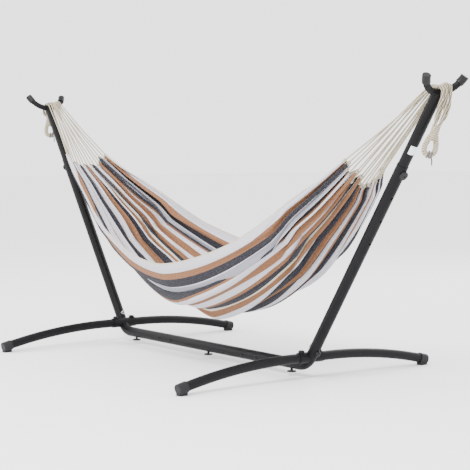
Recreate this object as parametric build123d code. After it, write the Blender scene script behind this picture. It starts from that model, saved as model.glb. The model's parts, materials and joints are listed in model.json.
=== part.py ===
from build123d import *
import math
import os

# Hammock on a steel stand. Millimetres, +X along the hammock, +Y to the back, +Z up.
# The origin is on the floor, under the middle of the stand.

# ---------------------------------------------------------------- driving sizes
TUBE_D = 42.0            # base and lower post tube
TUBE_WALL = 1.5
BASE_Z = 48.5            # centre line of the base tube
CORNER_X = 637.0         # where the base and post centre lines meet
POST_ANGLE = 56.0        # post, above the floor
BEND_R = 80.0            # centre line radius of the elbow
SADDLE_Z = 1058.0        # centre of the hook bar at its lowest point
CENTRE_HALF = 300.0      # half length of the centre base tube

HOLE_PITCH = 100.0       # height holes along the post
HOLE_D = 9.0
HOLE_COUNT = 4           # the top one takes the locking knob
FIRST_HOLE_DOWN = 325.0  # from the saddle to the top hole, along the post
LOWER_POST_ABOVE = 30.0  # lower tube, past the top hole
UPPER_D = 38.6           # upper post tube, inside the lower one
UPPER_BELOW = 80.0       # upper tube, below the top hole
FIT_GAP = 0.2            # radial gap of pieces that slide together at assembly

HOOK_BAR_D = 24.0
HOOK_BAR_WALL = 2.5
HOOK_ARC_R = 93.2        # centre line radius of the U-shaped hook
HOOK_TIP_ANGLE = 75.0    # from the saddle to each tip
HOOK_CAP_D = 30.0
HOOK_CAP_ANGLE = 20.0    # how much of the arc each cap covers

FOOT_D = 36.0            # curved foot arms
FOOT_WALL = 1.5
FOOT_X = 655.0
FOOT_Z = 83.5            # arm centre line in its socket
FOOT_REACH = 606.0       # from the middle to the end of each cap
FOOT_STRAIGHT = 90.0     # straight start of each arm
SOCKET_D = 41.4
SOCKET_HALF = 58.0
ARM_START = 8.0
CAP_D = 42.0
CAP_LENGTH = 38.0
CAP_END = 4.0            # thickness of the cap's closed end
PAD_LENGTH = 34.0        # flat resting pad under each cap
PAD_WIDTH = 24.0

BOLT_D = 8.0
BOLT_Y = 42.0            # foot bolts, each side of the elbow
BOLT_HEAD_D = 24.0
BOLT_HEAD_H = 9.0
ELBOW_BOLT_Z = 113.0

KNOB_D = 34.0
KNOB_H = 7.0
KNOB_GRIPS = 6

SCREW_D = 4.0            # screws of the base joints
SCREW_HEAD_D = 9.0
SCREW_HEAD_H = 3.0
SCREW_OFFSET = 45.0      # from the joint, each way

LEVEL_X = 546.0
LEVEL_STEM_D = 10.0
LEVEL_PAD_D = 36.0
LEVEL_PAD_H = 5.0
LEVEL_PAD_Z = 14.5       # underside of the pad, above the floor
LEVEL_STEM_H = 40.0

LABEL_DOWN = 224.0       # from the saddle to the label, along the post
LABEL_SIZE = 33.0
LABEL_TURN = -12.0

# fabric bed: a trough between its two gathered ends
BED_LEFT_X = -955.0
BED_RIGHT_X = 965.0
BED_SHIFT = 125.0        # the belly hangs nearer to the right end
RIM_MID_Z = 462.0
RIM_END_Z = 835.0
FRONT_DROOP = 22.0       # the front rim hangs lower in the middle
FRONT_LIFT = 65.0        # and is pulled higher on the right
BELLY_Z = 197.0
BELLY_END_Z = 765.0
BED_HALF_MID = 335.0
BED_HALF_END = 110.0
BED_THICK = 5.0
BED_STATIONS = 15
BED_ROWS = 13

# cords
STRANDS = 16
STRAND_D = 4.4
FAN_GAP = 3.0            # from the cloth's end to the cord's tube
FAN_SHORT = 80.0         # where the fan's tubes stop, before the saddle
WRAP_THICK = 9.0
WRAP_LOW = -16.0         # rope over the bar, from here to
WRAP_HIGH = 44.0         # here, along Y
EYE_TUBE_D = 19.0
EYE_R = 20.0             # centre line radius of the eye's round end
EYE_LENGTH = 92.0        # from the tip of the eye to its bottom, on the centre line
TIE_D = 5.0

# ---------------------------------------------------------------- derived places
ANGLE = math.radians(POST_ANGLE)
POST_DIR = Vector(math.cos(ANGLE), 0, math.sin(ANGLE))
OUT_DIR = Vector(math.sin(ANGLE), 0, -math.cos(ANGLE))
CORNER = Vector(CORNER_X, 0, BASE_Z)
SADDLE_S = (SADDLE_Z - BASE_Z) / math.sin(ANGLE)
TOP_HOLE_S = SADDLE_S - FIRST_HOLE_DOWN
SADDLE = CORNER + POST_DIR * SADDLE_S
TUBE_R = TUBE_D / 2
TUBE_BORE_R = TUBE_R - TUBE_WALL


def on_post(s):
    """A point on the right post's axis, s from the corner."""
    return CORNER + POST_DIR * s


def post_plane(s, turn=0.0):
    """Plane across the right post: its x axis points out and down, turned about the axis."""
    plane = Plane(origin=on_post(s), x_dir=OUT_DIR, z_dir=POST_DIR)
    return plane.rotated((0, 0, turn))


def bar(radius, start, direction, length):
    """A round bar from start, along direction."""
    plane = Plane(origin=start, z_dir=direction)
    return extrude(plane * Circle(radius), length)


def pipe(outer_r, inner_r, start, direction, length):
    """A round tube from start, along direction."""
    plane = Plane(origin=start, z_dir=direction)
    return extrude(plane * (Circle(outer_r) - Circle(inner_r)), length)


def mirrored(shape, plane):
    """Mirror image of a piece, or of each solid of a group."""
    images = [mirror(solid, plane) for solid in shape.solids()]
    return images[0] if len(images) == 1 else Compound(children=images)


def both_sides(name, shape):
    """The right-hand piece and its mirror image."""
    return {"right_" + name: shape, "left_" + name: mirrored(shape, Plane.YZ)}


def all_corners(name, shape):
    """The back right piece of the feet, and its copies at the other three corners."""
    half_turn = Rot(0, 0, 180)
    return {
        "right_" + name + "_back": shape,
        "left_" + name + "_back": mirrored(shape, Plane.YZ),
        "right_" + name + "_front": mirrored(shape, Plane.XZ),
        "left_" + name + "_front": half_turn * shape,
    }


# ---------------------------------------------------------------- base and posts
def elbow_path():
    """Base leg, bend and lower post of the right side."""
    start = Vector(CENTRE_HALF, 0, BASE_Z)
    end = on_post(TOP_HOLE_S + LOWER_POST_ABOVE)
    return FilletPolyline(start, CORNER, end, radius=BEND_R)


def elbow_tube():
    path = elbow_path()
    start = Plane(origin=(CENTRE_HALF, 0, BASE_Z), z_dir=(1, 0, 0))
    tube = sweep(start * (Circle(TUBE_R) - Circle(TUBE_BORE_R)), path=path)
    for i in range(HOLE_COUNT):
        hole_at = on_post(TOP_HOLE_S - i * HOLE_PITCH)
        tube -= bar(HOLE_D / 2, hole_at, OUT_DIR, TUBE_D)
    socket_cut = bar(SOCKET_D / 2 + 0.1, (FOOT_X, -TUBE_D, FOOT_Z), (0, 1, 0), 2 * TUBE_D)
    bolt_s = (ELBOW_BOLT_Z - BASE_Z) / math.sin(ANGLE)
    bolt_cut = bar(BOLT_D / 2 + FIT_GAP, on_post(bolt_s) - OUT_DIR * TUBE_D, OUT_DIR, 2 * TUBE_D)
    stem_cut = bar(LEVEL_STEM_D / 2 + FIT_GAP, (LEVEL_X, 0, 0), (0, 0, 1), BASE_Z)
    return tube - socket_cut - bolt_cut - stem_cut - screw_hole(CENTRE_HALF + SCREW_OFFSET)


def screw_hole(x):
    """Hole for a joint screw, through the front walls of the base tubes."""
    return bar(SCREW_D / 2 + FIT_GAP, (x, 0, BASE_Z), (0, -1, 0), TUBE_D)


def centre_tube():
    tube = pipe(TUBE_R, TUBE_BORE_R, (-CENTRE_HALF, 0, BASE_Z), (1, 0, 0), 2 * CENTRE_HALF)
    for x in (-CENTRE_HALF + SCREW_OFFSET, CENTRE_HALF - SCREW_OFFSET):
        tube -= screw_hole(x)
    return tube - bar(LEVEL_STEM_D / 2 + FIT_GAP, (0, 0, 0), (0, 0, 1), BASE_Z)


def base_joiner():
    """Sleeve inside the joint between the centre tube and the elbow tube."""
    outer = TUBE_BORE_R - FIT_GAP
    half = 80.0
    sleeve = pipe(outer, outer - 2, (CENTRE_HALF - half, 0, BASE_Z), (1, 0, 0), 2 * half)
    for x in (CENTRE_HALF - SCREW_OFFSET, CENTRE_HALF + SCREW_OFFSET):
        sleeve -= screw_hole(x)
    return sleeve


def joiner_screws():
    """Two pan-head screws through the front of each base joint."""
    screws = []
    for x in (CENTRE_HALF - SCREW_OFFSET, CENTRE_HALF + SCREW_OFFSET):
        head = bar(SCREW_HEAD_D / 2, (x, -TUBE_R, BASE_Z), (0, -1, 0), SCREW_HEAD_H)
        head = fillet(head.edges().sort_by(Axis.Y)[0], 1.8)
        screws.append(head + bar(SCREW_D / 2, (x, -TUBE_R + 8, BASE_Z), (0, -1, 0), 9))
    return Compound(children=screws)


def upper_tube():
    """Upper post tube with a closed top, notched for the hook bar."""
    outer = UPPER_D / 2
    start_s = TOP_HOLE_S - UPPER_BELOW
    top_s = SADDLE_S + 4
    tube = pipe(outer, outer - TUBE_WALL, on_post(start_s), POST_DIR, top_s - start_s)
    tube += bar(outer, on_post(top_s - 4), POST_DIR, 4)
    tube -= bar(HOLE_D / 2, on_post(TOP_HOLE_S), OUT_DIR, TUBE_D)
    return tube - hook_sector(HOOK_BAR_D / 2 + 0.05, 0, -HOOK_TIP_ANGLE, HOOK_TIP_ANGLE)


def post_nut():
    """Weld nut inside the upper tube, behind the locking knob."""
    plane = Plane(origin=on_post(TOP_HOLE_S) + OUT_DIR * 8, z_dir=OUT_DIR)
    nut = extrude(plane * RegularPolygon(7.5, 6, major_radius=False), 6.5)
    return nut - bar(BOLT_D / 2 + FIT_GAP, on_post(TOP_HOLE_S), OUT_DIR, TUBE_D)


def post_knob():
    """Low hand knob on the outer side of the post, with its screw and hex socket."""
    base = on_post(TOP_HOLE_S) + OUT_DIR * (TUBE_R + 0.6)
    knob = bar(KNOB_D / 2, base, OUT_DIR, KNOB_H)
    outer_face = knob.faces().sort_by(lambda f: -f.center().dot(OUT_DIR))[0]
    knob = fillet(outer_face.edges(), 2.5)
    plane = Plane(origin=base, z_dir=OUT_DIR)
    for spot in PolarLocations(KNOB_D / 2 + 2.5, KNOB_GRIPS):
        knob -= extrude(plane * (spot * Circle(4.0)), KNOB_H)
    knob -= extrude(Plane(origin=base + OUT_DIR * 3, z_dir=OUT_DIR) * RegularPolygon(4, 6), KNOB_H)
    return knob + bar(BOLT_D / 2, on_post(TOP_HOLE_S) + OUT_DIR * 6, OUT_DIR, TUBE_R)


def label():
    """Blank adhesive label wrapped on the upper tube."""
    plane = post_plane(SADDLE_S - LABEL_DOWN - LABEL_SIZE / 2)
    inner = UPPER_D / 2 + 0.05
    outer = inner + 0.35
    half_turn = LABEL_SIZE / 2 / outer
    ring = extrude(plane * (Circle(outer) - Circle(inner)), LABEL_SIZE)
    reach = 4 * outer
    corner = reach * math.tan(half_turn)
    wedge = Polygon((0, 0), (reach, -corner), (reach, corner), align=None)
    turned = Rot(0, 0, LABEL_TURN) * wedge
    return ring & extrude(plane * turned, LABEL_SIZE)


# ---------------------------------------------------------------- hooks
def hook_axis():
    """Axis that the U-shaped hook bar bends about."""
    return Axis(SADDLE + POST_DIR * HOOK_ARC_R, OUT_DIR)


def hook_sector(outer_r, inner_r, start, end):
    """Round section carried along the hook's arc, between two angles from the saddle."""
    plane = Plane(origin=SADDLE, x_dir=OUT_DIR, z_dir=(0, 1, 0))
    section = plane * Circle(outer_r)
    if inner_r > 0:
        section -= plane * Circle(inner_r)
    section = section.rotate(hook_axis(), start)
    return revolve(section, axis=hook_axis(), revolution_arc=end - start)


def hook_bar():
    radius = HOOK_BAR_D / 2
    end = HOOK_TIP_ANGLE - 3
    return hook_sector(radius, radius - HOOK_BAR_WALL, -end, end)


def hook_cap(side):
    """Rubber cap over one tip of the hook; side is 1 at the back, -1 at the front."""
    radius = HOOK_CAP_D / 2
    bore = HOOK_BAR_D / 2 + 0.1
    mouth = HOOK_TIP_ANGLE - HOOK_CAP_ANGLE
    seat = HOOK_TIP_ANGLE - 2.8
    low, high = sorted((side * mouth, side * HOOK_TIP_ANGLE))
    cap = hook_sector(radius, 0, low, high)
    low, high = sorted((side * (mouth - 1), side * seat))
    cap -= hook_sector(bore, 0, low, high)
    tip = cap.faces().filter_by(GeomType.PLANE).sort_by(lambda f: -f.area)[0]
    return fillet(tip.edges(), 3.0)


def saddle_wrap():
    """Rope layer over the hook bar, between its two tangent lines."""
    inner = HOOK_BAR_D / 2 + 0.3
    outer = inner + WRAP_THICK
    plane = Plane(origin=SADDLE, x_dir=(1, 0, 0), z_dir=(0, -1, 0))
    ring = plane * (Circle(outer) - Circle(inner))
    reach = 3 * outer
    spread = math.radians(120)
    wedge = Polygon((0, 0), (reach, 0), (reach, reach),
                    (reach * math.cos(spread), reach * math.sin(spread)), align=None)
    section = ring & (plane * wedge)
    low = math.degrees(math.asin(WRAP_LOW / HOOK_ARC_R))
    high = math.degrees(math.asin(WRAP_HIGH / HOOK_ARC_R))
    section = section.rotate(hook_axis(), low)
    return revolve(section, axis=hook_axis(), revolution_arc=high - low)


# ---------------------------------------------------------------- feet
def foot_arc():
    """Radius and turn of the arm's curved part, from its reach and drop."""
    run = FOOT_REACH - FOOT_STRAIGHT
    turn_guess = math.atan(2 * FOOT_Z / run)
    end_z = CAP_D / 2 * math.cos(turn_guess / 2)
    drop = FOOT_Z - end_z
    radius = (run ** 2 + drop ** 2) / (2 * drop)
    return radius, math.asin(run / radius)


def arm_point(angle):
    """Point and direction on the curved part of the back right arm."""
    radius, _ = foot_arc()
    y = FOOT_STRAIGHT + radius * math.sin(angle)
    z = FOOT_Z - radius * (1 - math.cos(angle))
    return Vector(FOOT_X, y, z), Vector(0, math.cos(angle), -math.sin(angle))


def foot_arm():
    """Back right arm, straight in its socket and then curved down to the floor."""
    radius, turn = foot_arc()
    turn -= (CAP_END + 0.2) / radius
    start = Vector(FOOT_X, ARM_START, FOOT_Z)
    knee = Vector(FOOT_X, FOOT_STRAIGHT, FOOT_Z)
    middle, _ = arm_point(turn / 2)
    end, _ = arm_point(turn)
    path = Line(start, knee) + ThreePointArc(knee, middle, end)
    plane = Plane(origin=start, z_dir=(0, 1, 0))
    arm = sweep(plane * (Circle(FOOT_D / 2) - Circle(FOOT_D / 2 - FOOT_WALL)), path=path)
    return arm - bar(BOLT_D / 2 + FIT_GAP, (FOOT_X, BOLT_Y, FOOT_Z), (0, 0, 1), FOOT_D)


def foot_cap():
    """Cap over the end of the back right arm, with a flat pad that rests on the floor."""
    radius, turn = foot_arc()
    end, direction = arm_point(turn)
    cap = bar(CAP_D / 2, end, direction * -1, CAP_LENGTH)
    tip = cap.faces().sort_by(lambda f: -f.center().Y)[0]
    cap = fillet(tip.edges(), 2.5)
    pad = Box(PAD_WIDTH, PAD_LENGTH, 12, align=(Align.CENTER, Align.MAX, Align.MIN))
    cap += Pos(FOOT_X, FOOT_REACH - 2, 0) * pad
    knee = Vector(FOOT_X, FOOT_STRAIGHT, FOOT_Z)
    bore_turn = turn - CAP_END / radius
    bore_end, _ = arm_point(bore_turn)
    bore_middle, _ = arm_point(bore_turn / 2)
    plane = Plane(origin=knee, z_dir=(0, 1, 0))
    bore = sweep(plane * Circle(FOOT_D / 2 + 0.1), path=ThreePointArc(knee, bore_middle, bore_end))
    return cap - bore


def foot_socket():
    """Cross socket, welded into the elbow, that the two arms plug into."""
    bore = FOOT_D / 2 + FIT_GAP
    start = (FOOT_X, -SOCKET_HALF, FOOT_Z)
    socket = pipe(SOCKET_D / 2, bore, start, (0, 1, 0), 2 * SOCKET_HALF)
    for y in (-BOLT_Y, BOLT_Y):
        socket -= bar(BOLT_D / 2 + FIT_GAP, (FOOT_X, y, FOOT_Z), (0, 0, 1), SOCKET_D)
    return socket


def dome_bolt(base, direction, grip):
    """Dome-headed bolt; base is on the surface, and grip is its shank's length."""
    head = bar(BOLT_HEAD_D / 2, base, direction, BOLT_HEAD_H)
    top = head.faces().sort_by(lambda f: -f.center().dot(direction))[0]
    head = fillet(top.edges(), 6.0)
    return head + bar(BOLT_D / 2, base - direction * grip, direction, grip)


def foot_bolts():
    up = Vector(0, 0, 1)
    top = FOOT_Z + SOCKET_D / 2
    bolts = [dome_bolt(Vector(FOOT_X, y, top), up, 22) for y in (-BOLT_Y, BOLT_Y)]
    return Compound(children=bolts)


def foot_nuts():
    """Square nuts held inside the arms, under the foot bolts."""
    nuts = []
    for y in (-BOLT_Y, BOLT_Y):
        nut = Pos(FOOT_X, y, FOOT_Z + 6) * Box(13, 13, 6)
        nuts.append(nut - bar(BOLT_D / 2 + FIT_GAP, (FOOT_X, y, FOOT_Z), (0, 0, 1), 20))
    return Compound(children=nuts)


def elbow_bolt():
    """Cross bolt of the elbow, its dome head on the outer side."""
    bolt_s = (ELBOW_BOLT_Z - BASE_Z) / math.sin(ANGLE)
    return dome_bolt(on_post(bolt_s) + OUT_DIR * TUBE_R, OUT_DIR, TUBE_D + 8)


def elbow_nut():
    bolt_s = (ELBOW_BOLT_Z - BASE_Z) / math.sin(ANGLE)
    plane = Plane(origin=on_post(bolt_s) - OUT_DIR * (TUBE_R + 6), z_dir=OUT_DIR)
    nut = extrude(plane * RegularPolygon(7.5, 6, major_radius=False), 5.5)
    return nut - bar(BOLT_D / 2 + FIT_GAP, on_post(bolt_s) - OUT_DIR * 60, OUT_DIR, 60)


# ---------------------------------------------------------------- levellers
def leveller(x):
    """Screw-in levelling foot, a round pad on a threaded stem."""
    pad = Pos(x, 0, LEVEL_PAD_Z) * Cylinder(
        LEVEL_PAD_D / 2, LEVEL_PAD_H, align=(Align.CENTER, Align.CENTER, Align.MIN))
    pad = chamfer(pad.edges().group_by(Axis.Z)[-1], 1.5)
    stem_z = LEVEL_PAD_Z + LEVEL_PAD_H
    return pad + bar(LEVEL_STEM_D / 2, (x, 0, stem_z - 1), (0, 0, 1), LEVEL_STEM_H)


def leveller_nut(x):
    """Weld nut inside the base tube, above the stem's hole."""
    plane = Plane(origin=(x, 0, BASE_Z - TUBE_BORE_R + 3.2))
    nut = extrude(plane * RegularPolygon(8.5, 6, major_radius=False), 8)
    return nut - bar(LEVEL_STEM_D / 2 + FIT_GAP, (x, 0, 0), (0, 0, 1), BASE_Z + TUBE_R)


# ---------------------------------------------------------------- fabric bed
def bed_point(u, t, offset=0.0):
    """Point of the cloth: u runs from the left end, -1, to the right, 1; t from the front rim,
    -1, through the belly, 0, to the back rim, 1. offset moves it towards the inside."""
    away = abs(u)
    x = BED_LEFT_X + (BED_RIGHT_X - BED_LEFT_X) * (u + 1) / 2 + BED_SHIFT * (1 - u * u)
    rim = RIM_MID_Z + (RIM_END_Z - RIM_MID_Z) * away ** 1.9
    rim -= FRONT_DROOP * (1 - away ** 2) * (0.5 - t / 2)
    rim += FRONT_LIFT * max(0, u) * (1 - u * u) * (0.5 - t / 2)
    belly = BELLY_Z + (BELLY_END_Z - BELLY_Z) * away ** 1.62
    half = BED_HALF_END + (BED_HALF_MID - BED_HALF_END) * (1 - away ** 1.6) - offset
    turn = t * math.pi / 2
    y = half * math.sin(turn)
    z = rim - (rim - belly - offset) * math.cos(turn) ** 0.78 if abs(t) < 1 else rim
    return x, y, z


def bed_section(u):
    """Closed crescent across the bed at one station."""
    ts = [-1 + 2 * i / (BED_ROWS - 1) for i in range(BED_ROWS)]
    outer = [bed_point(u, t) for t in ts]
    inner = [bed_point(u, t, BED_THICK) for t in reversed(ts)]
    return make_face(Polyline(*outer, *inner, close=True))


def fabric_bed():
    stations = [-1 + 2 * i / (BED_STATIONS - 1) for i in range(BED_STATIONS)]
    return loft([bed_section(u) for u in stations], ruled=True)


# ---------------------------------------------------------------- cords
def fan(side):
    """Suspension cords of one end, straight from the cloth to just before the saddle."""
    cords = []
    for i in range(STRANDS):
        part = (i + 0.5) / STRANDS
        low = Vector(*bed_point(side, 2 * part - 1, BED_THICK / 2))
        y = WRAP_LOW + (WRAP_HIGH - WRAP_LOW) * part
        rise = HOOK_ARC_R - math.sqrt(HOOK_ARC_R ** 2 - y ** 2)
        lift = HOOK_BAR_D / 2 + (3 if i % 2 else 8) + rise
        high = Vector(side * SADDLE.X, y, SADDLE.Z + lift)
        way = (high - low).normalized()
        start = low + way * FAN_GAP
        cords.append(bar(STRAND_D / 2, start, way, (high - low).length - FAN_GAP - FAN_SHORT))
    return Compound(children=cords)


def tail_bundle(top, eye_top):
    """Cord ends gathered between the hook and the wrapped eye."""
    way = (eye_top - top).normalized()
    upper = Plane(origin=top, x_dir=Vector(0, 1, 0).cross(way).cross(way) * -1, z_dir=way)
    lower = Plane(origin=eye_top, x_dir=upper.x_dir, z_dir=way)
    return loft([upper * Ellipse(25, 8), lower * Circle(13)])


def eye(eye_top, eye_bottom, width_dir):
    """Wrapped rope eye, a teardrop loop hanging from its narrow end."""
    down = (eye_bottom - eye_top).normalized()
    across = (width_dir - down * width_dir.dot(down)).normalized()
    centre = eye_top + down * (EYE_LENGTH - EYE_R)
    reach = EYE_LENGTH - EYE_R
    lean = math.asin(EYE_R / reach)
    meet = across * (EYE_R * math.cos(lean)) - down * (EYE_R * math.sin(lean))
    meet_2 = across * (-EYE_R * math.cos(lean)) - down * (EYE_R * math.sin(lean))
    start = eye_top + (centre + meet - eye_top).normalized() * 30
    end = eye_top + (centre + meet_2 - eye_top).normalized() * 30
    path = Line(start, centre + meet)
    path += ThreePointArc(centre + meet, centre + down * EYE_R, centre + meet_2)
    path += Line(centre + meet_2, end)
    plane = Plane(origin=start, z_dir=(centre + meet - start).normalized())
    ring = sweep(plane * Circle(EYE_TUBE_D / 2), path=path)
    throat = bar(15, eye_top + down * 3, down, 34)
    throat = fillet(throat.edges(), 5)
    return ring + throat


def eye_tie(eye_top, eye_bottom, width_dir):
    """Dark cord tied round the bottom of the eye, with a short tail."""
    down = (eye_bottom - eye_top).normalized()
    across = (width_dir - down * width_dir.dot(down)).normalized()
    centre = eye_top + down * EYE_LENGTH
    ring_r = EYE_TUBE_D / 2 + TIE_D / 2 + 0.3
    ring = Plane(origin=centre, z_dir=across) * Torus(ring_r, TIE_D / 2)
    tail = bar(TIE_D / 2, centre + down * (ring_r - 1), Vector(0, 0, -1), 26)
    return ring + tail


# ---------------------------------------------------------------- the assembly
EYE_WIDTH_DIR = Vector(0.5, 0.866, 0)
RIGHT_TAIL = (Vector(1343, 15, 1035), Vector(1319, -9, 940), Vector(1301, -31, 840))
LEFT_TAIL = (Vector(-1343, 12, 1037), Vector(-1337, 10, 1018), Vector(-1315, 6, 918))


def build():
    nodes = {"centre_tube": centre_tube()}
    nodes.update(both_sides("elbow_tube", elbow_tube()))
    nodes.update(both_sides("base_joiner", base_joiner()))
    nodes.update(both_sides("joiner_screws", joiner_screws()))
    nodes.update(both_sides("upper_tube", upper_tube()))
    nodes.update(both_sides("post_nut", post_nut()))
    nodes.update(both_sides("post_knob", post_knob()))
    nodes["label"] = label()
    nodes.update(both_sides("hook_bar", hook_bar()))
    nodes.update(both_sides("hook_cap_back", hook_cap(1)))
    nodes.update(both_sides("hook_cap_front", hook_cap(-1)))
    nodes.update(both_sides("saddle_wrap", saddle_wrap()))
    nodes.update(both_sides("foot_socket", foot_socket()))
    nodes.update(all_corners("foot_arm", foot_arm()))
    nodes.update(all_corners("foot_cap", foot_cap()))
    nodes.update(both_sides("foot_bolts", foot_bolts()))
    nodes.update(both_sides("foot_nuts", foot_nuts()))
    nodes.update(both_sides("elbow_bolt", elbow_bolt()))
    nodes.update(both_sides("elbow_nut", elbow_nut()))
    for name, x in (("left", -LEVEL_X), ("centre", 0.0), ("right", LEVEL_X)):
        nodes[name + "_leveller"] = leveller(x)
        nodes[name + "_leveller_nut"] = leveller_nut(x)
    nodes["fabric_bed"] = fabric_bed()
    for name, side, tail in (("left", -1, LEFT_TAIL), ("right", 1, RIGHT_TAIL)):
        nodes[name + "_cord_fan"] = fan(side)
        nodes[name + "_tail_bundle"] = tail_bundle(tail[0], tail[1])
        nodes[name + "_eye"] = eye(tail[1], tail[2], EYE_WIDTH_DIR)
        nodes[name + "_eye_tie"] = eye_tie(tail[1], tail[2], EYE_WIDTH_DIR)
    return nodes


os.makedirs("parts", exist_ok=True)
for node, shape in build().items():
    export_step(shape, "parts/" + node + ".step")
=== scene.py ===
import json
import math
import random

import bpy
import numpy as np
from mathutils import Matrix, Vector


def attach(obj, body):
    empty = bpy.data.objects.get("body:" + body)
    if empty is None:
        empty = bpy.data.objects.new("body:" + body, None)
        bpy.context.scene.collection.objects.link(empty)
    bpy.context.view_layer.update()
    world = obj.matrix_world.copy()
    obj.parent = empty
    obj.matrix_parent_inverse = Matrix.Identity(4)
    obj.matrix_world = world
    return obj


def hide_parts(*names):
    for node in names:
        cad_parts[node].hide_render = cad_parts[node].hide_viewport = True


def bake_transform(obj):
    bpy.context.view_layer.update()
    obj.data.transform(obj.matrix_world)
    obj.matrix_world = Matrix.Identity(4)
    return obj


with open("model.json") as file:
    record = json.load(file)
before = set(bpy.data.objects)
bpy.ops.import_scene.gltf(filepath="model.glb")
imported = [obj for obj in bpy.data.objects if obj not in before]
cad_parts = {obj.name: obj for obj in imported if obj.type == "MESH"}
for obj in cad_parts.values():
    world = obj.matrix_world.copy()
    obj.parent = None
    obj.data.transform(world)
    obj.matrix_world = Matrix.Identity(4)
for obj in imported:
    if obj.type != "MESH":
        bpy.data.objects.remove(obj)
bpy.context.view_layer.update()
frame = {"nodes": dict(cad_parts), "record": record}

# ---------------------------------------------------------------- places shared with the frame, metres
SADDLE_X = 1.31792       # middle of each hook, where the ropes go over
SADDLE_Z = 1.058
HOOK_ARC_R = 0.0932      # the hook's own bend, about X
HOOK_BAR_R = 0.012
POST_R = 0.0193          # upper tube of the post
POST_ANGLE = math.radians(56)   # up from the floor
WRAP_LOW = -0.016        # rope over the bar, from here
WRAP_HIGH = 0.044        # to here, along Y
WRAP_MIDDLE = 0.014      # half way between the two

# the bed, a trough between its gathered ends
BED_LEFT_X = -0.955
BED_RIGHT_X = 0.965
BED_SHIFT = 0.125
RIM_MID_Z = 0.462
RIM_END_Z = 0.835
FRONT_DROOP = 0.022
FRONT_LIFT = 0.065
BELLY_Z = 0.197
BELLY_END_Z = 0.765
BED_HALF_MID = 0.335
BED_HALF_END = 0.110
RIM_RISE = 1.9           # powers of the distance from the middle: how the rim rises to the ends,
BELLY_RISE = 1.62        # how the belly rises
BED_NARROWS = 1.6        # and how the bed narrows
BELLY_ROUND = 0.78       # below 1 the trough is fuller than half a wave

# cloth
CLOTH_LENGTH = 2.24      # cut size
GATHERS = 16             # tufts at each end, one cord each
ROWS = 220               # stations along the bed
TUFT_COLUMNS = 16        # columns of mesh in one tuft
SLACK = -0.025           # how much larger than its place the cloth is, for the simulation
FLUTE_MOST = 0.040       # the deepest flute
FLUTE_RANGE = (0.75, 1.15)      # from tuft to tuft
ROW_SHARE = 0.96         # of the cloth's width: a row is fluted until it measures this, if it can
FOLD_STRIPE = 7          # the stripe, counted from 0, where the front fold starts
TUFT_WIDE = 0.008        # half width of a gathered tuft round the bed
TUFT_DEEP = 0.015        # and across the cloth
REACH_RANGE = (-0.030, 0.022)   # of a tuft past the bed's end, towards its hook
REACH_LEFT = 0.034       # the left tufts go this much nearer their hook
REACH_RIGHT_BACK = -0.050   # the back tufts of the right end stop short by about this
REACH_LEAST = -0.064     # and none of that end's by more than this
CLOTH_MOVE = 0.022       # the furthest the simulation may move a point
CLOTH_FRAMES = 18
RIM_HOLD = 0.35          # how firmly the simulation holds the two rims
CLOTH_THICK = 0.0014
THREAD_PITCH = 0.0016

# stripes from the front edge to the middle, which mirror to the back edge: width in mm and yarn
STRIPES = [
    (8, "cream"), (36, "white"), (32, "tan"), (44, "charcoal"), (6, "white"), (40, "grey"),
    (6, "white"), (40, "charcoal"), (11, "tan"), (40, "white"), (42, "tan"), (38, "white"),
    (14, "tan"), (44, "charcoal"), (10, "cream"), (26, "tan"), (34, "white"), (28, "charcoal"),
    (31, "tan"),
]
YARN = {
    "cream": (0.56, 0.51, 0.42), "white": (0.56, 0.55, 0.61), "tan": (0.215, 0.092, 0.036),
    "charcoal": (0.0095, 0.0090, 0.0130), "grey": (0.27, 0.27, 0.31),
}
CLOTH_WIDTH = 2 * sum(width for width, yarn in STRIPES) / 1000

# cords
CORD_D = 0.0056
CORD_DRAW = 0.05         # how far the fan is drawn in towards its middle, half way along
TAIL_D = 0.0118          # four cords laid together
TAILS = 4
TAIL_TWIST = 0.16        # one turn of its four cords
TAIL_GROOVE = 0.42       # depth of the grooves between them, as a share of its radius
TAIL_TAPER = 0.016       # it starts thin, on top of the hook, and is full after this much
BINDING_R = 0.0060       # cord bound round the tip of a tuft
BINDING_RUN = (-0.014, -0.005, 0.006)   # points along it, from the tip towards the hook
CORD_ROOM = 0.0006       # between a cord and what it passes
CORD_STEP = 0.0022       # rings of a cord's mesh
CORD_PITCH = 0.014       # one turn of its twist

# the wrapped eyes and what hangs them: top of the bundle, top of the eye, bottom of the eye
RIGHT_TAIL = (Vector((1.343, 0.015, 1.035)), Vector((1.319, -0.009, 0.940)),
              Vector((1.301, -0.031, 0.840)))
LEFT_TAIL = (Vector((-1.343, 0.012, 1.037)), Vector((-1.337, 0.010, 1.018)),
             Vector((-1.315, 0.006, 0.918)))
EYE_LENGTH = 0.092
EYE_R = 0.020            # about half the width of its rope's centre line
EYE_TUBE_R = 0.0095      # about the radius of its rope, whipping included
EYE_WIDTH = Vector((0.5, 0.866, 0))   # the way the eye is wide
TIE_R = 0.0025
WHIPPING_PITCH = 0.0074  # one turn of the cord round the eye
EYE_OUTLINE = [          # half widths and shares of the length, from the throat to the bottom
    (0.002, 0.10), (0.008, 0.30), (EYE_R * 0.9, 0.60), (EYE_R * 1.0, 0.88), (EYE_R * 0.5, 1.01),
]
THROAT_RUN = (-0.10, 0, 0.15, 0.44)     # the whipping at the throat, in shares of the eye
THROAT_SWELL = 1.55      # of the rope's radius
TIE_PITCH = 0.010        # one turn of the dark cord's twist
TIE_DROP = (-0.008, -0.022)     # its short tail

# cord colours: painted shade in the grooves between the strands, and the strands' own colour
CREAM_CORD_AND_GROOVE_SHADE = (0.085, 0.068, 0.045), (0.50, 0.435, 0.325)
DARK_CORD_AND_GROOVE_SHADE = (0.03, 0.03, 0.032), (0.11, 0.11, 0.115)

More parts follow.
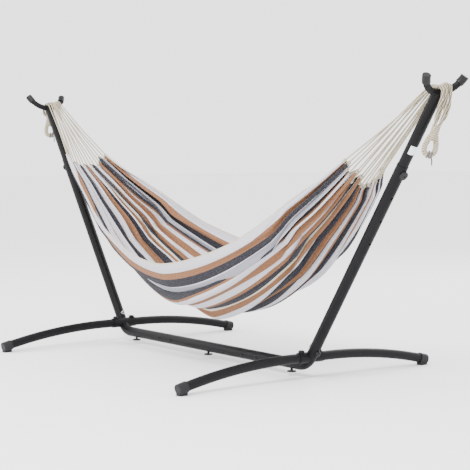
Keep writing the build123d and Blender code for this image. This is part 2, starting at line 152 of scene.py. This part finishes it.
# the picture
CAMERA_PLACE = (4.7194, -3.4005, 0.8866)
CAMERA_TURN = (math.pi / 2 - 0.0644, 0, 0.9275)
CAMERA_LENS = 108.24     # mm, on a sensor 36 mm wide
SKY = 2.6                # strength of the white studio all round
LIGHTS = {               # place, size in metres and watts
    "key": ((2.6, -3.4, 4.2), 2.0, 330),
    "fill": ((-3.5, -3.0, 2.6), 3.0, 80),
    "rim": ((-1.5, 4.0, 3.2), 3.0, 90),
}
LIGHT_AIM = (0, 0, 0.5)
FLOOR_SIZE = 60
FLOOR_Z = -0.0005        # just under the part


# ---------------------------------------------------------------- node helpers
def new_material(name, base, roughness, metallic=0.0):
    """A new material and its principled shader."""
    material = bpy.data.materials.new(name)
    material.use_nodes = True
    shader = material.node_tree.nodes["Principled BSDF"]
    shader.inputs["Base Color"].default_value = (*base, 1)
    shader.inputs["Roughness"].default_value = roughness
    shader.inputs["Metallic"].default_value = metallic
    shader.inputs["Specular IOR Level"].default_value = 0.10
    return material, shader


def add(material, kind, **values):
    node = material.node_tree.nodes.new("ShaderNode" + kind)
    for name, value in values.items():
        if name in node.inputs:
            node.inputs[name].default_value = value
        else:
            setattr(node, name, value)
    return node


def link(material, output, target):
    material.node_tree.links.new(output, target)


def noise(material, coordinates, scale, detail=3.0):
    node = add(material, "TexNoise", Scale=scale, Detail=detail)
    link(material, coordinates, node.inputs["Vector"])
    return node.outputs["Fac"]


def object_coordinates(material):
    return add(material, "TexCoord").outputs["Object"]


def bump(material, shader, height, distance, strength):
    node = add(material, "Bump", Distance=distance, Strength=strength)
    link(material, height, node.inputs["Height"])
    link(material, node.outputs["Normal"], shader.inputs["Normal"])


def spread(material, value, low, high):
    """value from 0 to 1, as a range from low to high."""
    node = add(material, "MapRange")
    node.inputs["To Min"].default_value = low
    node.inputs["To Max"].default_value = high
    link(material, value, node.inputs["Value"])
    return node.outputs["Result"]


def two_tone(material, shader, value, dark, light):
    node = add(material, "Mix", data_type="RGBA")
    node.inputs["A"].default_value = (*dark, 1)
    node.inputs["B"].default_value = (*light, 1)
    link(material, value, node.inputs["Factor"])
    link(material, node.outputs["Result"], shader.inputs["Base Color"])


# ---------------------------------------------------------------- hard materials
def speckled(name, dark, light, grain, roughness, depth, metallic=0.0):
    """A finish with broad patches in its colour and gloss, and a fine grain in its surface."""
    material, shader = new_material(name, light, roughness[0], metallic)
    where = object_coordinates(material)
    fine = noise(material, where, grain)
    broad = noise(material, where, 9.0, 2.0)
    two_tone(material, shader, broad, dark, light)
    link(material, spread(material, broad, *roughness), shader.inputs["Roughness"])
    bump(material, shader, fine, depth, 0.5)
    return material


def hard_materials():
    return {
        "black_steel": speckled("powder_coat", (0.004, 0.004, 0.0045), (0.009, 0.009, 0.010),
                                900, (0.36, 0.50), 0.0003),
        "black_bolt": speckled("black_zinc", (0.010, 0.010, 0.011), (0.022, 0.022, 0.024),
                               600, (0.24, 0.36), 0.0001, 0.6),
        "zinc_steel": speckled("zinc_plate", (0.48, 0.49, 0.50), (0.62, 0.63, 0.64),
                               500, (0.28, 0.40), 0.0001, 1.0),
        "black_plastic": speckled("moulded_plastic", (0.014, 0.014, 0.015),
                                  (0.022, 0.022, 0.024), 1400, (0.40, 0.52), 0.0002),
        "black_rubber": speckled("rubber_cap", (0.012, 0.012, 0.013), (0.022, 0.022, 0.023),
                                 1100, (0.22, 0.34), 0.0001),
        "label_film": speckled("blank_film", (0.74, 0.80, 0.84), (0.82, 0.86, 0.88),
                               300, (0.25, 0.35), 0.00005),
    }


def paint_hard_parts():
    finishes = hard_materials()
    for part in frame["record"]["subparts"]:
        material = finishes.get(part["material_slot"])
        if material is None:
            continue
        node = frame["nodes"][part["node"]]
        node.data.materials.clear()
        node.data.materials.append(material)


# ---------------------------------------------------------------- soft materials
def stripe_ramp(material, share):
    """Colours of the stripes by the distance from the nearer edge, in shares of half the width."""
    ramp = add(material, "ValToRGB")
    ramp.color_ramp.interpolation = "CONSTANT"
    half = sum(width for width, yarn in STRIPES)
    reached = 0
    for i, (width, yarn) in enumerate(STRIPES):
        stops = ramp.color_ramp.elements
        stop = stops[0] if i == 0 else stops.new(reached / half)
        stop.position = reached / half
        stop.color = (*YARN[yarn], 1)
        reached += width
    ramp.color_ramp.elements.remove(ramp.color_ramp.elements[-1])
    link(material, share, ramp.inputs["Fac"])
    return ramp.outputs["Color"]


def threads(material, along, pitch):
    """Rounded threads of that pitch across one UV direction."""
    turn = add(material, "Math", operation="MULTIPLY")
    turn.inputs[1].default_value = 2 * math.pi / pitch
    wave = add(material, "Math", operation="SINE")
    link(material, along, turn.inputs[0])
    link(material, turn.outputs[0], wave.inputs[0])
    return wave.outputs[0]


def stripes_across(material, width_way):
    """The stripes' colours, from the nearer edge to the middle."""
    from_edge = add(material, "Math", operation="PINGPONG")
    from_edge.inputs[1].default_value = CLOTH_WIDTH / 2
    share = add(material, "Math", operation="DIVIDE")
    share.inputs[1].default_value = CLOTH_WIDTH / 2
    link(material, width_way, from_edge.inputs[0])
    link(material, from_edge.outputs[0], share.inputs[0])
    return stripe_ramp(material, share.outputs[0])


def flecked(material, colour, where):
    """The colour, lighter and darker from fleck to fleck of yarn."""
    fleck = noise(material, where, 330, 4.0)
    light = add(material, "Mix", data_type="RGBA", blend_type="SOFT_LIGHT")
    light.inputs["Factor"].default_value = 1.0
    grey = add(material, "CombineXYZ")
    for axis in range(3):
        link(material, spread(material, fleck, 0.05, 0.95), grey.inputs[axis])
    link(material, colour, light.inputs["A"])
    link(material, grey.outputs[0], light.inputs["B"])
    return light.outputs["Result"]


def heathered(material, colour, where):
    """The colour with pale fibres through it."""
    fibre = noise(material, where, 620, 5.0)
    heather = add(material, "MapRange", **{"From Min": 0.54, "From Max": 0.70, "To Max": 0.42})
    link(material, fibre, heather.inputs["Value"])
    mixed = add(material, "Mix", data_type="RGBA")
    mixed.inputs["B"].default_value = (0.33, 0.33, 0.40, 1)
    link(material, heather.outputs["Result"], mixed.inputs["Factor"])
    link(material, colour, mixed.inputs["A"])
    return mixed.outputs["Result"]


def cloth_material():
    """Striped plain weave: flecked yarn, crossed threads, a little sheen."""
    material, shader = new_material("striped_cotton", YARN["white"], 0.9)
    shader.inputs["Sheen Weight"].default_value = 0.05
    shader.inputs["Sheen Roughness"].default_value = 0.6
    shader.inputs["Specular IOR Level"].default_value = 0.2
    uv = add(material, "UVMap", uv_map="cloth").outputs["UV"]
    parts = add(material, "SeparateXYZ")
    link(material, uv, parts.inputs[0])
    # flecks run along the yarn, longer than they are wide
    stretch = add(material, "Mapping")
    stretch.inputs["Scale"].default_value = (1.0, 0.35, 1.0)
    link(material, uv, stretch.inputs["Vector"])
    where = stretch.outputs["Vector"]
    colour = flecked(material, stripes_across(material, parts.outputs["X"]), where)
    link(material, heathered(material, colour, where), shader.inputs["Base Color"])
    weave = add(material, "Math", operation="MULTIPLY")
    link(material, threads(material, parts.outputs["X"], THREAD_PITCH), weave.inputs[0])
    link(material, threads(material, parts.outputs["Y"], THREAD_PITCH), weave.inputs[1])
    bump(material, shader, weave.outputs[0], 0.0003, 0.6)
    return material


def cord_material(name, dark, light):
    """Twisted cord, with painted shade in the grooves between its strands."""
    material, shader = new_material(name, light, 0.88)
    shader.inputs["Sheen Weight"].default_value = 0.1
    shader.inputs["Specular IOR Level"].default_value = 0.2
    where = object_coordinates(material)
    # painted shade: the cord is darker in its grooves, by the relief of its mesh, and lighter on its
    # strands, with a random fibre tone
    relief = add(material, "Attribute", attribute_name="relief")
    raised = add(material, "MapRange", **{"From Min": 0.74, "From Max": 0.94})
    link(material, relief.outputs["Fac"], raised.inputs["Value"])
    fibre = spread(material, noise(material, where, 260, 4.0), 0.45, 1.15)
    tone = add(material, "Math", operation="MULTIPLY")
    link(material, raised.outputs["Result"], tone.inputs[0])
    link(material, fibre, tone.inputs[1])
    # dark is the painted groove shade and light the strands' own colour
    two_tone(material, shader, tone.outputs["Value"], dark, light)
    bump(material, shader, noise(material, where, 1500), 0.0003, 0.6)
    return material


# ---------------------------------------------------------------- the bed's surface
def section(u, samples=160):
    """Points across the bed at u, from the front rim to the back rim, in metres."""
    away = abs(u)
    t = np.linspace(-1, 1, samples)
    x = BED_LEFT_X + (BED_RIGHT_X - BED_LEFT_X) * (u + 1) / 2 + BED_SHIFT * (1 - u * u)
    rim = RIM_MID_Z + (RIM_END_Z - RIM_MID_Z) * away ** RIM_RISE
    rim = rim - FRONT_DROOP * (1 - away ** 2) * (0.5 - t / 2)
    rim = rim + FRONT_LIFT * max(0, u) * (1 - u * u) * (0.5 - t / 2)
    belly = BELLY_Z + (BELLY_END_Z - BELLY_Z) * away ** BELLY_RISE
    half = BED_HALF_END + (BED_HALF_MID - BED_HALF_END) * (1 - away ** BED_NARROWS)
    turn = t * math.pi / 2
    y = half * np.sin(turn)
    z = rim - (rim - belly) * np.maximum(np.cos(turn), 0) ** BELLY_ROUND
    return np.stack([np.full(samples, x), y, z], axis=1)


def across(u, shares):
    """Points and outward normals at even shares of the way round the section at u."""
    line = section(u)
    steps = np.linalg.norm(np.diff(line, axis=0), axis=1)
    way = np.concatenate([[0], np.cumsum(steps)])
    at = shares * way[-1]
    points = np.stack([np.interp(at, way, line[:, k]) for k in range(3)], axis=1)
    slope = np.stack([np.interp(at + 0.004, way, line[:, k]) -
                      np.interp(at - 0.004, way, line[:, k]) for k in range(3)], axis=1)
    slope /= np.linalg.norm(slope, axis=1)[:, None]
    normal = np.stack([np.zeros(len(at)), slope[:, 2], -slope[:, 1]], axis=1)
    return points, slope, normal


def smooth(value, low, high):
    share = np.clip((value - low) / (high - low), 0, 1)
    return share * share * (3 - 2 * share)


def tuft_reach():
    """How much further than the bed's end each tuft goes, and how deep its flute is."""
    rng = random.Random(7)
    found = {side: np.array([rng.uniform(*REACH_RANGE) for i in range(GATHERS)])
             for side in (-1, 1)}
    found[-1] += REACH_LEFT
    back = smooth(np.linspace(0, 1, GATHERS), 0.2, 0.8)
    found[1] = np.maximum(found[1] + REACH_RIGHT_BACK * back, REACH_LEAST)
    found["flutes"] = np.array([rng.uniform(*FLUTE_RANGE) for i in range(GATHERS)])
    return found


def fold_place():
    """Where the front fold starts across the cloth, and how deep it is, as shares of the width:
    it hides the charcoal stripe and the thin tan one below it."""
    before = sum(width for width, yarn in STRIPES[:FOLD_STRIPE])
    hidden = sum(width for width, yarn in STRIPES[FOLD_STRIPE:FOLD_STRIPE + 2])
    return before / 1000 / CLOTH_WIDTH, hidden / 2000 / CLOTH_WIDTH


def folded(shares, u):
    """Places round the bed of these shares of the cloth, with a Z-fold on the front to the right
    and one on the back to the left, and how far the folds lift the cloth."""
    start, depth = fold_place()
    front = depth * float(smooth(u, -0.20, 0.25) * (1 - smooth(u, 0.62, 0.84)))
    back = depth * float((1 - smooth(u, -0.25, 0.10)) * smooth(u, -0.84, -0.62))
    place_of = shares - 2 * np.clip(shares - start, 0, front)
    place_of = place_of - 2 * np.clip(shares - (1 - start - back), 0, back)
    lift_front = 0.005 * (front / depth) * (1 - smooth(shares, start, start + 2 * front + 1e-6))
    lift_front = lift_front * smooth(shares, start - 0.07, start)
    lift_back = -0.005 * (back / depth) * smooth(shares, 1 - start - back, 1 - start + 1e-6)
    lift_back = lift_back * (1 - smooth(shares, 1 - start, 1 - start + 0.07))
    return place_of / (1 - 2 * front - 2 * back), lift_front + lift_back


def flutes(u, shares, weights):
    """Lengthwise flutes from 0, at the bed's outer face, to 1, at their deepest."""
    near_end = float(smooth(abs(u), 0.25, 0.70))
    wide = 0.5 - 0.30 * np.sin(2 * math.pi * 5 * shares + 1.9 * u + 0.6)
    wide = wide - 0.20 * np.sin(2 * math.pi * 9 * shares - 2.7 * u + 2.1)
    tuft = np.minimum((shares * GATHERS).astype(int), GATHERS - 1)
    inside = shares * GATHERS - tuft
    narrow = (0.5 + 0.5 * np.cos(2 * math.pi * inside)) * weights[tuft]
    edges = smooth(shares, 0, 0.05) * smooth(1 - shares, 0, 0.05)
    return (wide * (1 - near_end) + narrow * near_end) * edges


def girth_of(points):
    return float(np.linalg.norm(np.diff(points, axis=0), axis=1).sum())


def fluted(points, normal, waves):
    """The row pushed in along its flutes, by FLUTE_MOST at most, until it measures ROW_SHARE."""
    low, high = 0.0, FLUTE_MOST
    for step in range(12):
        depth = (low + high) / 2
        if girth_of(points - normal * (waves * depth)[:, None]) < CLOTH_WIDTH * ROW_SHARE:
            low = depth
        else:
            high = depth
    return points - normal * (waves * depth)[:, None]


def cloth_row(u, reach):
    """One row of cloth points across the bed: open in the middle, gathered to tufts at an end."""
    shares = np.linspace(0, 1, GATHERS * TUFT_COLUMNS + 1)
    tuft = np.minimum((shares * GATHERS).astype(int), GATHERS - 1)
    inside = shares * GATHERS - tuft
    side = 1 if u > 0 else -1
    gather = float(smooth(abs(u), 0.80, 0.97))
    end = float(smooth(abs(u), 0.88, 1.0))
    places, lift = folded(shares, u)
    points, slope, normal = across(u, places)
    points = fluted(points + normal * lift[:, None], normal, flutes(u, shares, reach["flutes"]))
    middle, slope, normal = across(u, (tuft + 0.5) / GATHERS)
    wide = TUFT_WIDE * (1 - 0.35 * end)
    deep = TUFT_DEEP * (1 - 0.50 * end)
    angle = 2 * math.pi * (inside - 0.5) * 0.94
    curl = middle + slope * (np.sin(angle) * wide)[:, None]
    curl = curl + normal * (np.cos(angle) * deep - deep * 0.5)[:, None]
    points = points * (1 - gather) + curl * gather
    aim = np.array([side * SADDLE_X, WRAP_MIDDLE, SADDLE_Z])
    way = aim - middle
    way /= np.linalg.norm(way, axis=1)[:, None]
    return points + way * (reach[side][tuft] * 0.96 * end)[:, None]


def tuft_tips(side, reach):
    """The middle of each tuft's tip, where its cord begins."""
    row = cloth_row(side * 1.0, reach)
    columns = [row[i * TUFT_COLUMNS:(i + 1) * TUFT_COLUMNS] for i in range(GATHERS)]
    return [Vector(column.mean(axis=0)) for column in columns]


def cloth_mesh(reach):
    rows = np.linspace(-1, 1, ROWS)
    grid = np.array([cloth_row(u, reach) for u in rows])
    columns = grid.shape[1]
    corners = [(r * columns + c, r * columns + c + 1, (r + 1) * columns + c + 1,
                (r + 1) * columns + c)
               for r in range(ROWS - 1) for c in range(columns - 1)]
    mesh = bpy.data.meshes.new("cloth")
    mesh.from_pydata(grid.reshape(-1, 3).tolist(), [], corners)
    layer = mesh.uv_layers.new(name="cloth")
    for loop in mesh.loops:
        row, column = divmod(loop.vertex_index, columns)
        layer.data[loop.index].uv = (CLOTH_WIDTH * column / (columns - 1),
                                     CLOTH_LENGTH * row / (ROWS - 1))
    mesh.polygons.foreach_set("use_smooth", [True] * len(mesh.polygons))
    return mesh, rows, columns


def hold_edges(cloth, rows, columns):
    """The group that the simulation holds: the ends fully, the rims in part."""
    pins = cloth.vertex_groups.new(name="held")
    for r, u in enumerate(rows):
        hold = float(smooth(abs(u), 0.60, 0.86))
        for c in range(columns):
            rim = RIM_HOLD if c in (0, columns - 1) else 0.0
            pins.add([r * columns + c], max(hold, rim), "REPLACE")


def drape(cloth):
    """Runs the cloth simulation and keeps its last shape."""
    modifier = cloth.modifiers.new("drape", "CLOTH")
    settings = modifier.settings
    settings.quality = 6
    settings.mass = 0.25
    settings.tension_stiffness = 25
    settings.compression_stiffness = 25
    settings.bending_stiffness = 0.6
    settings.air_damping = 3
    settings.shrink_min = SLACK
    settings.vertex_group_mass = "held"
    modifier.collision_settings.use_self_collision = False
    modifier.point_cache.frame_start = 1
    modifier.point_cache.frame_end = CLOTH_FRAMES
    for step in range(1, CLOTH_FRAMES + 1):
        bpy.context.scene.frame_set(step)
    bpy.context.view_layer.objects.active = cloth
    bpy.ops.object.modifier_apply(modifier="drape")


def simulate(cloth, rows, columns):
    """Lets the slack cloth buckle and sag between its gathered ends, by CLOTH_MOVE at most."""
    before = np.array([v.co for v in cloth.data.vertices])
    hold_edges(cloth, rows, columns)
    drape(cloth)
    moved = np.array([v.co for v in cloth.data.vertices]) - before
    far = np.linalg.norm(moved, axis=1)
    share = np.minimum(1, CLOTH_MOVE / np.maximum(far, 1e-9))
    after = before + moved * share[:, None]
    cloth.data.vertices.foreach_set("co", after.ravel())
    bpy.context.scene.frame_set(1)


def side_name(side):
    return "right" if side > 0 else "left"


def place(name, mesh, material):
    piece = bpy.data.objects.new(name, mesh)
    bpy.context.scene.collection.objects.link(piece)
    mesh.materials.append(material)
    return piece


def make_cloth(reach, material):
    mesh, rows, columns = cloth_mesh(reach)
    cloth = place("striped_cloth", mesh, material)
    simulate(cloth, rows, columns)
    shell = cloth.modifiers.new("thickness", "SOLIDIFY")
    shell.thickness = CLOTH_THICK
    shell.offset = 0
    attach(cloth, "hammock")
    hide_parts("fabric_bed")
    return cloth


# ---------------------------------------------------------------- cords
def route(points):
    """Points along the smooth line that these control points give."""
    curve = bpy.data.curves.new("route", "CURVE")
    curve.dimensions = "3D"
    curve.resolution_u = 24
    spline = curve.splines.new("NURBS")
    spline.points.add(len(points) - 1)
    for point, place_of in zip(spline.points, points):
        point.co = (*place_of, 1)
    spline.order_u = 3
    spline.use_endpoint_u = True
    holder = bpy.data.objects.new("route", curve)
    bpy.context.scene.collection.objects.link(holder)
    bpy.context.view_layer.update()
    line = bpy.data.meshes.new_from_object(holder)
    found = np.array([v.co for v in line.vertices])
    bpy.data.objects.remove(holder)
    bpy.data.meshes.remove(line)
    bpy.data.curves.remove(curve)
    return found


def evenly(line, step):
    """The line again with points about one step apart, and how far along each is."""
    gaps = np.linalg.norm(np.diff(line, axis=0), axis=1)
    way = np.concatenate([[0], np.cumsum(gaps)])
    at = np.linspace(0, way[-1], max(4, int(way[-1] / step)))
    return np.stack([np.interp(at, way, line[:, k]) for k in range(3)], axis=1), at


def frames_along(line):
    """Two directions across the line at each point, carried along without twist."""
    tangent = np.gradient(line, axis=0)
    tangent /= np.linalg.norm(tangent, axis=1)[:, None]
    first = np.cross(tangent[0], (0.31, 0.87, 0.38))
    one = []
    for way in tangent:
        first = first - way * first.dot(way)
        first = first / np.linalg.norm(first)
        one.append(first)
    one = np.array(one)
    return one, np.cross(tangent, one)


def tube(line, radius, around=12):
    """Mesh tube; radius(at, angle) gives its radius at a distance along and an angle round."""
    points, at = evenly(line, CORD_STEP)
    one, two = frames_along(points)
    angle = np.linspace(0, 2 * math.pi, around, endpoint=False)
    size = radius(at[:, None], angle[None, :])
    rings = (points[:, None] + one[:, None] * (size * np.cos(angle))[..., None] +
             two[:, None] * (size * np.sin(angle))[..., None])
    faces = []
    for r in range(len(points) - 1):
        for k in range(around):
            n = (k + 1) % around
            faces.append((r * around + k, r * around + n, (r + 1) * around + n,
                          (r + 1) * around + k))
    last = (len(points) - 1) * around
    faces.append(tuple(reversed(range(around))))
    faces.append(tuple(range(last, last + around)))
    mesh = bpy.data.meshes.new("tube")
    mesh.from_pydata(rings.reshape(-1, 3).tolist(), [], faces)
    mesh.polygons.foreach_set("use_smooth", [True] * len(mesh.polygons))
    # the relief sets the painted shade in the cord's grooves
    keep_relief(mesh, (size / size.max() * np.ones(rings.shape[:2])).ravel())
    return mesh, points


def keep_relief(mesh, values):
    """How high each point stands in its cord, from its deepest groove to 1, for the painted shade in
    the cord's grooves.
    """
    layer = mesh.attributes.new("relief", "FLOAT", "POINT")
    layer.data.foreach_set("value", values)


def laid(diameter, plies, pitch, groove=0.20):
    """Radius of a laid cord: plies round lobes that turn once each pitch."""
    def radius(at, angle):
        lobe = np.abs(np.cos((angle - 2 * math.pi * at / pitch) * plies / 2))
        return diameter / 2 * (1 - groove + groove * lobe)
    return radius


def clear_of_post(y, radius):
    """How far from the post's axis a cord of that radius passes it at y."""
    return math.sqrt(max(0, POST_R ** 2 - y ** 2)) + radius + CORD_ROOM


def over_hook(side, y, radius, lift=0.0):
    """The hook's top under a cord at y, and how far from the bar's middle the cord's line is."""
    tilt = math.asin(y / HOOK_ARC_R)
    rise = HOOK_ARC_R * (1 - math.cos(tilt))
    middle = Vector((side * (SADDLE_X + rise * math.cos(POST_ANGLE)), y,
                     SADDLE_Z + rise * math.sin(POST_ANGLE)))
    return middle, (HOOK_BAR_R + radius + lift + CORD_ROOM) / math.cos(tilt)


def tail_top(side, i):
    """The middle of the bar under tail i, and the tail's distance from it."""
    y = WRAP_LOW + (WRAP_HIGH - WRAP_LOW) * (i + 0.5) / TAILS
    return over_hook(side, y, TAIL_D / 2)


def fan_line(side, i, tip, heart):
    """Places that a fan cord goes by: half way, drawn in a little towards the fan's heart, then
    near the post, the bar's shoulder and top, and the bundle that it joins."""
    share = (i + 0.5) / GATHERS
    y = WRAP_LOW + (WRAP_HIGH - WRAP_LOW) * share
    layer = CORD_D if i % 2 else 0.0
    middle, out = over_hook(side, y, CORD_D / 2, layer)
    inner = max(out, clear_of_post(y, CORD_D / 2) + layer)
    top = middle + Vector((0, 0, out * 1.12))
    bundle, above = tail_top(side, i * TAILS // GATHERS)
    joined = bundle + Vector((side * TAIL_D, 0, above * 0.96))
    shoulder = middle + Vector((-side * inner * 1.05, 0, inner * 1.05))
    inward = middle + Vector((-side * inner * 1.7, 0, inner * 0.60))
    half_way = tip.lerp(inward, 0.5) + (heart - tip) * CORD_DRAW
    return half_way, inward, shoulder, top, joined


def fan_cord(side, i, tip, heart, material):
    """One cord from its tuft over the hook, where four of them run into one bundle."""
    half_way, inward, shoulder, top, joined = fan_line(side, i, tip, heart)
    way = (inward - tip).normalized()
    control = [tip, tip + way * 0.03, half_way, inward - way * 6 * CORD_D,
               inward, shoulder, top, joined]
    mesh, points = tube(route(control), laid(CORD_D, 3, CORD_PITCH))
    cord = place(f"{side_name(side)}_fan_cord_{i + 1}", mesh, material)
    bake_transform(cord)
    return cord


def tuft_bindings(side, tips, material):
    """Cord bound round each tuft's tip, as one piece for the end."""
    label = side_name(side)
    aim = Vector((side * SADDLE_X, WRAP_MIDDLE, SADDLE_Z))
    points, faces, relief = [], [], []
    for tip in tips:
        way = (aim - tip).normalized()
        line = np.array([tip + way * along for along in BINDING_RUN])
        mesh, used = tube(line, lambda at, angle: BINDING_R * (
            0.88 + 0.22 * np.abs(np.sin(math.pi * at / CORD_D + angle / 2))))
        first = len(points)
        points += [tuple(v.co) for v in mesh.vertices]
        relief += [value.value for value in mesh.attributes["relief"].data]
        faces += [[first + k for k in face.vertices] for face in mesh.polygons]
        bpy.data.meshes.remove(mesh)
    mesh = bpy.data.meshes.new("bindings")
    mesh.from_pydata(points, [], faces)
    mesh.polygons.foreach_set("use_smooth", [True] * len(mesh.polygons))
    keep_relief(mesh, relief)
    piece = place(f"{label}_tuft_bindings", mesh, material)
    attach(piece, "hammock")


def eye_ways(tail):
    """The directions down the eye, across it and through it."""
    eye_top, eye_bottom = tail[1:]
    down = (eye_bottom - eye_top).normalized()
    wide = (EYE_WIDTH - down * EYE_WIDTH.dot(down)).normalized()
    return down, wide, wide.cross(down)


def tail_line(side, i, tail):
    """Control points of a bundle, from the hook's top to its place among four in the whipping."""
    top, eye_top = tail[:2]
    middle, out = tail_top(side, i)
    beside = clear_of_post(middle.y, TAIL_D / 2)
    down, wide, thick = eye_ways(tail)
    aside = 1 if i >= TAILS / 2 else -1
    ahead = 1 if i % 2 else -1
    pack = wide * (aside * TAIL_D / 2) + thick * (ahead * TAIL_D / 2)
    spot = i - (TAILS - 1) / 2
    low = eye_top + pack * 1.08
    spread_out = EYE_WIDTH * (spot * TAIL_D * 1.20) + thick * (ahead * TAIL_D * 0.36)
    belly = top.lerp(eye_top, 0.45) + spread_out + Vector((side * 0.006, 0, 0))
    return [middle + Vector((0, 0, out * 1.10)),
            middle + Vector((side * out * 0.95, 0, out * 1.10)),
            middle + Vector((side * (beside + 0.014), 0, 0.002)),
            belly, low, low + down * 0.012]


def bundled(at, angle):
    """Radius of a bundle, thin where its cords come together."""
    taper = 0.45 + 0.55 * smooth(at, 0, TAIL_TAPER)
    return laid(TAIL_D, 4, TAIL_TWIST, TAIL_GROOVE)(at, angle) * taper


def tail_cord(side, i, tail, material):
    """A bundle of four of the fan's cords, from the hook's top down into the eye's whipping."""
    control = tail_line(side, i, tail)
    mesh, points = tube(route(control), bundled, around=20)
    label = side_name(side)
    cord = place(f"{label}_tail_cord_{i + 1}", mesh, material)
    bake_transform(cord)
    return cord


# ---------------------------------------------------------------- wrapped eyes
def eye_line(tail):
    """Centre line of the teardrop, from the throat round and back."""
    eye_top = tail[1]
    down, wide = eye_ways(tail)[:2]
    right = [eye_top + wide * w + down * (EYE_LENGTH * share) for w, share in EYE_OUTLINE]
    left = [eye_top - wide * w + down * (EYE_LENGTH * share)
            for w, share in reversed(EYE_OUTLINE)]
    return right + [eye_top + down * EYE_LENGTH * 1.03] + left


def whipped(at, angle):
    """Radius of the eye under its turns of whipping cord."""
    turns = np.abs(np.sin(math.pi * at / WHIPPING_PITCH + angle / 2))
    return EYE_TUBE_R * (0.74 + 0.32 * turns)


def make_eye(side, tail, cream, dark):
    """The eye's ring, the whipping at its throat and its tie."""
    label = side_name(side)
    mesh, points = tube(route(eye_line(tail)), whipped, around=18)
    ring = place(f"{label}_wrapped_eye", mesh, cream)
    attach(ring, f"{label}_loop")
    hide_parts(f"{label}_eye", f"{label}_tail_bundle", f"{label}_saddle_wrap")
    throat_line = route([tail[1] + (tail[2] - tail[1]) * share for share in THROAT_RUN])
    mesh, points = tube(throat_line, lambda at, angle: whipped(at, angle) * THROAT_SWELL,
                        around=20)
    throat = place(f"{label}_eye_whipping", mesh, cream)
    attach(throat, f"{label}_loop")
    make_tie(label, tail, dark)


def make_tie(label, tail, dark):
    """Dark cord knotted round the bottom of the eye, with a short tail."""
    down, wide, thick = eye_ways(tail)
    centre = tail[1] + down * EYE_LENGTH
    reach = EYE_TUBE_R + TIE_R
    turns = [centre + thick * (reach * math.cos(a)) + down * (reach * math.sin(a)) +
             wide * (0.0016 * a - 0.006)
             for a in (math.pi / 2 + k * math.pi / 6 for k in range(25))]
    drop = [turns[-1] + Vector((0, 0, z)) for z in TIE_DROP]
    mesh, points = tube(route(turns + drop), laid(2 * TIE_R, 4, TIE_PITCH), around=10)
    tie = place(f"{label}_tie_cord", mesh, dark)
    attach(tie, f"{label}_loop")
    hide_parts(f"{label}_eye_tie")


# ---------------------------------------------------------------- setting
def floor():
    bpy.ops.mesh.primitive_plane_add(size=FLOOR_SIZE, location=(0, 0, FLOOR_Z))
    plane = bpy.context.object
    plane.name = "floor"
    material, shader = new_material("pale_floor", (0.94, 0.94, 0.94), 0.95)
    shader.inputs["Specular IOR Level"].default_value = 0.0
    plane.data.materials.append(material)


def area_light(name, place_of, size, watts):
    light = bpy.data.lights.new(name, "AREA")
    light.energy = watts
    light.shape = "DISK"
    light.size = size
    holder = bpy.data.objects.new(name, light)
    holder.location = place_of
    aim = Vector(LIGHT_AIM) - Vector(place_of)
    holder.rotation_euler = aim.to_track_quat("-Z", "Y").to_euler()
    bpy.context.scene.collection.objects.link(holder)


def lights():
    world = bpy.data.worlds.new("studio")
    world.use_nodes = True
    world.node_tree.nodes["Background"].inputs["Color"].default_value = (1, 1, 1, 1)
    world.node_tree.nodes["Background"].inputs["Strength"].default_value = SKY
    bpy.context.scene.world = world
    for name, (place_of, size, watts) in LIGHTS.items():
        area_light(name, place_of, size, watts)


def camera():
    lens = bpy.data.cameras.new("camera")
    lens.sensor_width = 36
    lens.lens = CAMERA_LENS
    holder = bpy.data.objects.new("camera", lens)
    holder.location = CAMERA_PLACE
    holder.rotation_euler = CAMERA_TURN
    bpy.context.scene.collection.objects.link(holder)
    bpy.context.scene.camera = holder


# ---------------------------------------------------------------- the scene
def build():
    camera()
    lights()
    floor()
    paint_hard_parts()
    reach = tuft_reach()
    cream = cord_material("twisted_cotton", *CREAM_CORD_AND_GROOVE_SHADE)
    dark = cord_material("dark_braid", *DARK_CORD_AND_GROOVE_SHADE)
    make_cloth(reach, cloth_material())
    for side, tail in ((-1, LEFT_TAIL), (1, RIGHT_TAIL)):
        tips = tuft_tips(side, reach)
        heart = sum(tips, Vector()) / GATHERS
        cords = [fan_cord(side, i, tips[i], heart, cream) for i in range(GATHERS)]
        tuft_bindings(side, tips, cream)
        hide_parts("right_cord_fan" if side > 0 else "left_cord_fan")
        for i in range(TAILS):
            tail_cord(side, i, tail, cream)
        make_eye(side, tail, cream, dark)


build()
